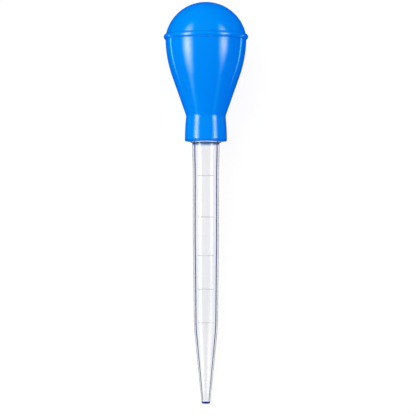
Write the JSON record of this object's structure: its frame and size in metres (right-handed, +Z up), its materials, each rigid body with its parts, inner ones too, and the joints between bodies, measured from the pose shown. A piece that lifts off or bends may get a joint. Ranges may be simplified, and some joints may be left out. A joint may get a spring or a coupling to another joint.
{
  "type": "dropper pipette",
  "caption": "Dropper pipette: a soft hollow squeeze bulb pushed over a clear tapered tube with moulded level marks and a fine nozzle.",
  "frame": {"origin": "on the floor, under the middle of the part's box as it lies", "axes": "+Y towards the bulb and -Y towards the tip, +Z up with the level marks on top, +X to the right seen from above with the bulb ahead; the pipette's own axis rises 5.9 degrees towards the bulb"},
  "size_m": [0.059, 0.279, 0.0587],
  "materials": {
    "bulb": "soft moulded vinyl, glossy blue",
    "tube": "clear injection-moulded styrene, polished"
  },
  "bodies": {
    "root": {"bulb": "bulb", "tube": "tube"}
  },
  "joints": []
}
